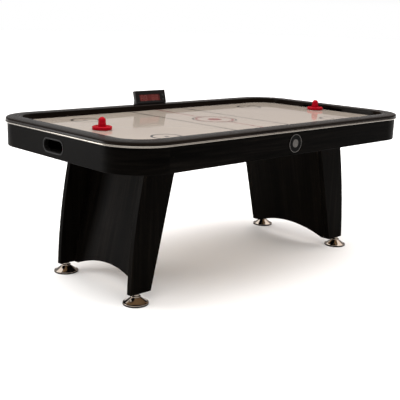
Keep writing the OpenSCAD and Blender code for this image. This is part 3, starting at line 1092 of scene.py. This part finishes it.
@dataclass
class Pedestal:
    """One splayed pedestal: two bowed side boards with a hollowed and a flat panel between them."""

    name: str
    sign: int
    bow_centre: Point = (-2.3907, -0.0945)
    bow_r: float = 3.2
    panel_thick: float = 0.009
    splay: float = 0.149
    hollow: float = 0.0165
    arch_top: float = 0.100
    arch_margin: float = 0.030
    outer_set: float = 0.040
    inner_set: float = 0.0
    end_shift: float = 0.3
    back_shift: float = 0.9
    panel_shift: float = 1.7
    play: float = 0.0004
    board_steps: int = 40
    columns: int = 56
    rows: int = 20
    low: float = field(init=False)
    top: float = field(init=False)
    inner_low: float = field(init=False)
    inner_top: float = field(init=False)
    half: float = field(init=False)

    def __post_init__(self) -> None:
        """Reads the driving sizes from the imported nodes."""
        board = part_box("right_leg_back_board")
        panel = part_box("right_leg_inner_panel")
        self.low, self.top = board[0].z, board[1].z
        self.inner_top = board[0].x
        self.half = panel[1].y
        self.inner_low = self.inner_top + self.splay

    def edge(self, height: float) -> float:
        """Gives how far out a board's straight inner edge is at a height."""
        part = (height - self.low) / (self.top - self.low)
        return self.inner_low + (self.inner_top - self.inner_low) * part

    def bow(self, height: float) -> float:
        """Gives how far out a board's bowed outer edge is at a height."""
        return self.bow_centre[0] + math.sqrt(self.bow_r**2 - (height - self.bow_centre[1])**2)

    def board(self, place: str) -> None:
        """Builds a side board.

        Args:
            place: "front" or "back".
        """
        node = f"{self.name}_leg_{place}_board"
        low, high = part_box(node)
        shape = Shape()
        steps = self.board_steps
        for y in (low.y, high.y):
            for k in range(steps + 1):
                z = self.low + (self.top - self.low) * k / steps
                shift = self.end_shift * self.sign + (self.back_shift if place == "back" else 0.0)
                for out in (self.edge(z), self.bow(z)):
                    shape.add((self.sign * out, y, z), (z + shift, out, y))
        side = 2 * (steps + 1)
        for k in range(steps):
            a, b, c, d = 2 * k, 2 * k + 1, 2 * k + 3, 2 * k + 2
            shape.faces += [(a, b, c, d), (side + a, side + b, side + c, side + d)]
            shape.faces += [(a, d, side + d, side + a), (b, c, side + c, side + b)]
        for k in (0, steps):
            shape.faces.append((2 * k, 2 * k + 1, side + 2 * k + 1, side + 2 * k))
        piece = show(f"{self.name}_{place}_side_board", shape.mesh(node, 50), BOARD, stands_for=[node])
        round_edges(piece, 0.0028, 4)

    def arch(self, y: float) -> float:
        """Gives the arch's height at a place across the pedestal.

        Args:
            y: How far from the pedestal's middle.

        Returns:
            The height of the panels' lower edge there.
        """
        half = self.half - self.arch_margin
        rise = self.arch_top - self.low
        r = (half * half + rise * rise) / (2 * rise)
        if abs(y) >= half:
            return self.low
        return self.arch_top - r + math.sqrt(r * r - y * y)

    def panel(self, kind: str, offset: float, hollow: float, finish: Finish) -> None:
        """Builds a panel between the boards.

        Args:
            kind: "outer" or "inner".
            offset: How far outside the boards' inner edge its face is, beside the boards.
            hollow: How far its middle is set inwards.
            finish: Its finish.
        """
        node = f"{self.name}_leg_{kind}_panel"
        lean = math.cos(math.atan((self.inner_low - self.inner_top) / (self.top - self.low)))
        shape = Shape()
        half = self.half - self.play
        for layer in (0.0, self.panel_thick / lean):
            for c in range(self.columns + 1):
                y = half * (2 * c / self.columns - 1)
                dip = hollow * (1 - (y / half) ** 2)
                foot = self.arch(y)
                for r in range(self.rows + 1):
                    z = foot + (self.top - self.play - foot) * r / self.rows
                    out = self.edge(z) + offset - dip + (layer if kind == "inner" else -layer)
                    shape.add((self.sign * out, y, z), (z + self.panel_shift * self.sign, y, layer))
        stride = self.rows + 1
        side = stride * (self.columns + 1)
        for c in range(self.columns):
            for r in range(self.rows):
                a = c * stride + r
                quad = (a, a + 1, a + stride + 1, a + stride)
                shape.faces += [quad, tuple(side + v for v in quad)]
            for r in (0, self.rows):
                a = c * stride + r
                shape.faces.append((a, a + stride, side + a + stride, side + a))
        for c in (0, self.columns):
            for r in range(self.rows):
                a = c * stride + r
                shape.faces.append((a, a + 1, side + a + 1, side + a))
        piece = show(f"{self.name}_{kind}_panel_sheet", shape.mesh(node, 50), finish, stands_for=[node])
        round_edges(piece, 0.0012, 2)

    def build(self) -> None:
        """Builds the boards and the panels."""
        for place in ("front", "back"):
            self.board(place)
        self.panel("outer", self.outer_set, self.hollow, PANEL)
        self.panel("inner", self.inner_set, 0.0, BOARD)
        log.info("%s pedestal: 2 side boards and 2 panels", self.name)


@dataclass
class Leveller:
    """One levelling foot: chrome cone, rubber pad and stud."""

    end: str
    place: str
    neck_r: float = 0.015
    flare_r: float = 0.022
    lip: float = 0.004
    steps: int = 96

    def build(self) -> None:
        """Builds the cone with its stud, and the pad under it."""
        node = f"{self.end}_{self.place}_leveller"
        pad = f"{self.end}_{self.place}_foot_pad"
        body = f"{node}_set"
        low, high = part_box(node)
        centre = Vector(((low.x + high.x) / 2, (low.y + high.y) / 2, 0))
        r = (high.x - low.x) / 2
        z0, z1 = low.z, 0.0475
        profile = [(0, z0 + 0.006), (r - 0.006, z0 + 0.001), (r - 0.005, z0), (r - 0.0012, z0),
                   *arc((r - 0.0012, z0 + 0.0012), 0.0012, -80, 0, 3),
                   *arc((r - 0.0015, z0 + self.lip - 0.0015), 0.0015, 0, 75, 4)]
        flare = 14
        for i in range(1, flare + 1):
            part = i / flare
            radius = (r - 0.004) + (self.flare_r - (r - 0.004)) * part
            height = z0 + self.lip + (0.0345 - z0 - self.lip) * part ** 1.12
            profile.append((radius, height))
        profile += [*arc((self.flare_r - 0.001, 0.0375), 0.003, -40, 60, 4),
                    (self.neck_r + 0.001, 0.0412), (self.neck_r, 0.0425), (self.neck_r, z1 - 0.0008),
                    (self.neck_r - 0.0008, z1), (0.005, z1)]
        turns = 24
        for i in range(turns):
            z = z1 + (high.z - 0.002 - z1) * (i + 0.5) / turns
            profile += [(0.0050, z - 0.0003), (0.00465, z + 0.0004)]
        profile += [(0.0042, high.z), (0, high.z)]
        show(f"{node}_cone", lathe(profile, centre, steps=self.steps, name=node), CHROME, body, [node])
        low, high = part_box(pad)
        r = (high.x - low.x) / 2
        rubber = [(0, 0.0), (r - 0.0015, 0.0), *arc((r - 0.0012, 0.0012), 0.0012, -90, 0, 3),
                  *arc((r - 0.0012, high.z - 0.0012), 0.0012, 0, 90, 3), (0, high.z)]
        show(f"{pad}_disc", lathe(rubber, centre, steps=self.steps, name=pad), RUBBER, body, [pad])


@dataclass
class Stand:
    """Both pedestals with their plates, bolts, inserts and levellers."""

    def build(self) -> None:
        """Builds the pedestals and levellers and dresses the rest."""
        for name, sign in (("left", -1), ("right", 1)):
            Pedestal(name, sign).build()
            for place in ("front", "back"):
                Leveller(name, place).build()
        dress("leg_top_plates", PLATE, 0.0010)
        dress("leg_bolts", STEEL, 0.0004)
        dress("leveller_inserts", STEEL)
        log.info("stand: plates, bolts, inserts and 4 levellers")


# ---- Scorer ----


@dataclass
class Scorer:
    """The electronic scorer that leans back on the back rail."""

    lean: float = 14.0
    height: float = 0.076
    bezel_deep: float = 0.008
    window_x: float = -0.016
    window_wide: float = 0.172
    window_high: float = 0.044
    window_low: float = 0.009
    digit_wide: float = 0.017
    digit_high: float = 0.029
    bar_wide: float = 0.0028
    bar_depths: Point = (0.0022, 0.0030)
    mask_depths: Point = (0.0021, 0.0030)
    digit_xs: tuple[float, ...] = (-0.048, -0.021, 0.035, 0.062)
    mask_side: float = 0.021
    mask_low: float = 0.006
    screw_xs: tuple[float, ...] = (-0.098, 0.098)

    def place(self) -> Matrix:
        """Gives the head's own frame: origin at its lower front edge, Z up its face.

        Returns:
            The frame.
        """
        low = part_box("scorer_bezel")[0]
        lift = self.bezel_deep * math.sin(math.radians(self.lean))
        turn = Matrix.Rotation(-math.radians(self.lean), 4, "X")
        return Matrix.Translation((0, low.y, low.z + lift)) @ turn

    def segments(self, x: float) -> list[tuple[Sequence[float], Sequence[float]]]:
        """Gives the seven bars of a digit as boxes in the head's frame.

        Args:
            x: The digit's middle.

        Returns:
            Lowest and highest corner of each bar.
        """
        w, h, t = self.digit_wide, self.digit_high, self.bar_wide
        gap = t * 0.7
        z0 = self.window_low + (self.window_high - h) / 2
        front, back = self.bar_depths
        bars = []
        for level in (0, h / 2, h):
            z = z0 + level
            bars.append(((x - w / 2 + gap, front, z - t / 2), (x + w / 2 - gap, back, z + t / 2)))
        for s in (-1, 1):
            for level in (0, h / 2):
                cx, z = x + s * w / 2, z0 + level
                bars.append(((cx - t / 2, front, z + gap), (cx + t / 2, back, z + h / 2 - gap)))
        return bars

    def build(self) -> None:
        """Dresses the case and builds the display, the frame round it and the screws."""
        at = self.place()
        dress("scorer_foot", CASE, 0.0010)
        dress("scorer_case", CASE, 0.0022)
        dress("scorer_bezel", CASE, 0.0016)
        dress("scorer_window", WINDOW, 0.0003)
        dress("scorer_board", CIRCUIT, 0.0003)
        dress("scorer_start_button", GREY, 0.0008)
        dress("scorer_reset_button", GREY, 0.0008)
        left, right = self.window_x - self.window_wide / 2, self.window_x + self.window_wide / 2
        bottom, top = self.window_low, self.window_low + self.window_high
        edge = left + self.mask_side
        front, back = self.mask_depths
        masks = {
            "side": ((left, front, bottom), (edge, back, top)),
            "low": ((edge, front, bottom), (right, back, bottom + self.mask_low)),
        }
        for name, (low, high) in masks.items():
            mesh = block(low, high, at, f"mask_{name}")
            round_edges(show(f"scorer_window_{name}_mask", mesh, CASE), 0.0002, 1)
        for number, x in enumerate(self.digit_xs):
            for part, (low, high) in enumerate(self.segments(self.window_x + x)):
                mesh = block(low, high, at, f"segment_{number}_{part}")
                round_edges(show(f"scorer_digit_{number}_segment_{part}", mesh, GHOST), 0.0003, 1)
        for number, x in enumerate(self.screw_xs):
            for z in (0.010, self.height - 0.010):
                centre = at @ Vector((x, 0.0200, z))
                back = at.to_3x3() @ Vector((0, 1, 0))
                profile = [(0, -0.002), (0.0032, -0.002), (0.0032, 0.0), (0.0026, 0.0010),
                           (0.0012, 0.0014), (0.0010, 0.0006), (0, 0.0006)]
                mesh = lathe(profile, centre, back, 24, name="case_screw")
                show(f"scorer_case_screw_{number}_{int(z * 1000)}", mesh, STEEL)
        log.info("scorer: case, bezel, window, %d digits, buttons and screws", len(self.digit_xs))


# ---- Play set and badge ----


@dataclass
class PlaySet:
    """The two pushers with their felts, the two pucks and the apron's badge."""

    knob_r: float = 0.019
    steps: int = 96

    def pusher(self, name: str) -> None:
        """Builds a pusher and its felt ring.

        Args:
            name: "left" or "right".
        """
        node = f"{name}_pusher"
        body = f"{name}_striker"
        low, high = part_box(node)
        centre = Vector(((low.x + high.x) / 2, (low.y + high.y) / 2, low.z))
        r, tall = (high.x - low.x) / 2, high.z - low.z
        k = self.knob_r
        dome = k - 0.001
        profile = [(r - 0.012, 0.0), (r - 0.0010, 0.0), (r, 0.0010),
                   *arc((r - 0.0035, 0.0120), 0.0035, 0, 60, 6),
                   *arc((r - 0.0055, 0.0145), 0.0025, 60, 140, 5),
                   *arc((r - 0.0160, 0.0160), 0.0085, -5, -75, 7),
                   *arc((k + 0.0058, 0.0138), 0.0058, -95, -178, 7),
                   (k, 0.0200), (k, 0.0300), *arc((k - 0.0012, 0.0306), 0.0012, 0, 70, 3),
                   (dome, 0.0328), (dome, tall - dome),
                   *arc((0, tall - dome), dome, 6, 84, 13), (0, tall)]
        inside = [(0, 0.050), (k - 0.004, 0.040), (k - 0.003, 0.005), (r - 0.013, 0.005)]
        mesh = lathe(profile + inside, centre, steps=self.steps, name=node, sharp=50)
        show(f"{name}_pusher_body", mesh, RED, body, [node])
        felt = f"{node}_felt"
        low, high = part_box(felt)
        outer = (high.x - low.x) / 2
        thick = high.z - low.z
        ring = [(outer - 0.009, 0), (outer - 0.0006, 0), (outer, 0.0006), (outer, thick - 0.0004),
                (outer - 0.0006, thick), (outer - 0.009, thick)]
        centre.z = low.z
        show(f"{felt}_ring", lathe(ring, centre, steps=self.steps, name=felt), FELT, body, [felt])

    def puck(self, name: str) -> None:
        """Builds a puck with its raised rim.

        Args:
            name: "left" or "right".
        """
        node = f"{name}_puck"
        low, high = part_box(node)
        centre = Vector(((low.x + high.x) / 2, (low.y + high.y) / 2, low.z))
        r, t = (high.x - low.x) / 2, high.z - low.z
        profile = [(0, 0.0004), (r - 0.009, 0.0004), (r - 0.0075, 0.0), (r - 0.0012, 0.0),
                   *arc((r - 0.0012, 0.0012), 0.0012, -70, 0, 3),
                   *arc((r - 0.0012, t - 0.0012), 0.0012, 0, 90, 4),
                   (r - 0.0075, t), (r - 0.009, t - 0.0006), (0, t - 0.0006)]
        mesh = lathe(profile, centre, steps=self.steps, name=node)
        show(f"{name}_puck_disc", mesh, RED, f"{name}_puck_body", [node])

    def badge(self) -> None:
        """Builds the apron's round badge: an enamelled disc in a metal ring with a boss."""
        low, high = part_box("apron_badge")
        centre = Vector(((low.x + high.x) / 2, high.y, (low.z + high.z) / 2))
        out = Vector((0, -1, 0))
        r, thick = (high.x - low.x) / 2, high.y - low.y
        ring = [(r - 0.0035, 0), (r, 0), (r, thick - 0.0010),
                *arc((r - 0.001, thick - 0.001), 0.001, 10, 90, 3),
                *arc((r - 0.0025, thick - 0.001), 0.001, 90, 170, 3), (r - 0.0035, 0.0012)]
        show("badge_ring", lathe(ring, centre, out, self.steps, name="badge_ring"), BADGE, TABLE_BODY,
             ["apron_badge"])
        disc = [(0, 0), (r - 0.003, 0), (r - 0.003, 0.0014), (0, 0.0014)]
        show("badge_disc", lathe(disc, centre, out, self.steps, name="badge_disc"), BADGE_BLACK)
        boss = [(0, 0.001), (0.0200, 0.001), (0.0205, 0.0018), (0.0198, 0.0026), (0.0160, 0.0029),
                (0.0150, 0.0021), (0.0085, 0.0021), (0.0075, 0.0029), (0, 0.0029)]
        show("badge_boss", lathe(boss, centre, out, self.steps, name="badge_boss"), BADGE)

    def build(self) -> None:
        """Builds the pushers, the pucks and the badge."""
        for name in ("left", "right"):
            self.pusher(name)
            self.puck(name)
        self.badge()
        log.info("play set: 2 pushers, 2 pucks and the badge")


# ---- Studio ----


@dataclass(frozen=True)
class Softbox:
    """A square lamp that faces the table."""

    name: str
    place: tuple[float, float, float]
    size: float
    power: float
    colour: Colour = (1.0, 1.0, 1.0)
    target: tuple[float, float, float] = (0.0, 0.0, 0.5)


@dataclass
class Studio:
    """Camera, floor and lights."""

    eye: tuple[float, float, float] = (-2.756, -2.830, 1.287)
    heading: float = 43.28
    pitch: float = -13.65
    roll: float = 1.62
    lens: float = 65.76
    floor_reach: float = 60.0
    softboxes: tuple[Softbox, ...] = (
        Softbox("left_light", (-3.2, 2.2, 0.72), 1.3, 62.0, target=(-1.0, 0.0, 0.6)),
        Softbox("top_light", (-0.5, 0.0, 4.0), 3.0, 25.0),
    )
    wall: float = 0.36
    shade: float = 0.28
    sky: float = 2.2
    horizon_span: Point = (0.025, 0.12)
    front_span: Point = (-0.5, 0.1)
    ceiling_span: Point = (0.48, 0.65)
    tint_span: Point = (0.3, 0.95)

    def camera(self) -> None:
        """Sets the camera up."""
        data = bpy.data.cameras.new("camera")
        data.sensor_width = 36.0
        data.lens = self.lens
        data.clip_end = 100.0
        camera = bpy.data.objects.new("camera", data)
        bpy.context.scene.collection.objects.link(camera)
        yaw, pitch, roll = (math.radians(a) for a in (self.heading, self.pitch, self.roll))
        ahead = Vector((math.cos(pitch) * math.sin(yaw), math.cos(pitch) * math.cos(yaw), math.sin(pitch)))
        right = Vector((math.cos(yaw), -math.sin(yaw), 0))
        up = right.cross(ahead)
        right, up = right * math.cos(roll) + up * math.sin(roll), up * math.cos(roll) - right * math.sin(roll)
        turned = Matrix((right, up, -ahead)).transposed().to_4x4()
        camera.matrix_world = Matrix.Translation(self.eye) @ turned
        bpy.context.scene.camera = camera

    def floor(self) -> None:
        """Lays the pale floor."""
        shape = Shape()
        reach = self.floor_reach
        for x, y in ((-reach, -reach), (reach, -reach), (reach, reach), (-reach, reach)):
            shape.add((x, y, 0.0))
        shape.faces = [(0, 1, 2, 3)]
        shader = Shader("studio_floor")
        grain = shader.noise(shader.place(Grain.ALONG_X, (1.0, 1.0, 1.0)), 0.7, 2.0)
        shader.set(Base_Color=shader.blend(grain, (0.94, 0.94, 0.94), (0.96, 0.96, 0.96)), Roughness=0.9,
                   Specular_IOR_Level=0.0)
        mesh = shape.mesh("floor", 30)
        mesh.materials.append(shader.material)
        floor = bpy.data.objects.new("floor", mesh)
        bpy.context.scene.collection.objects.link(floor)

    def lights(self) -> None:
        """Hangs the lights."""
        for box in self.softboxes:
            data = bpy.data.lights.new(box.name, "AREA")
            data.shape = "SQUARE"
            data.size = box.size
            data.energy = box.power
            data.color = box.colour
            light = bpy.data.objects.new(box.name, data)
            bpy.context.scene.collection.objects.link(light)
            light.location = box.place
            aim = Vector(box.target) - Vector(box.place)
            light.rotation_euler = aim.to_track_quat("-Z", "Y").to_euler()

    def room(self) -> None:
        """Sets the room's own light: pale horizon, dim walls, darkest in front, and bright ceiling."""
        shader = Shader("room", room=True)
        split = shader.node("SeparateXYZ")
        shader.link(shader.node("TexCoord").outputs["Generated"], split.inputs[0])
        x, y, z = split.outputs
        horizon = shader.smooth(z, *self.horizon_span, 1.0, 0.0)
        wall = shader.smooth(y, *self.front_span, self.shade, self.wall)
        ceiling = shader.smooth(z, *self.ceiling_span, 0.0, self.sky)
        level = shader.maths("ADD", shader.maths("MAXIMUM", horizon, wall), ceiling)
        tint = shader.blend(shader.smooth(x, *self.tint_span), (1.0, 0.99, 0.98), (1.0, 0.90, 0.86))
        shader.set(Color=shader.blend(horizon, tint, (1.0, 1.0, 1.0)), Strength=level)
        bpy.context.scene.world = shader.material

    def build(self) -> None:
        """Sets up the camera, the floor and the lights."""
        self.camera()
        self.floor()
        self.lights()
        self.room()
        bpy.context.scene.view_settings.view_transform = "Standard"
        log.info("studio: camera, floor and %d lights", len(self.softboxes))


def main() -> None:
    """Builds the scene."""
    logging.basicConfig(level=logging.INFO, format="%(name)s: %(message)s")
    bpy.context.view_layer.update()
    Studio().build()
    Rim().build()
    Cabinet().build()
    Blower().build()
    Stand().build()
    Scorer().build()
    PlaySet().build()


if __name__ == "__main__":
    main()
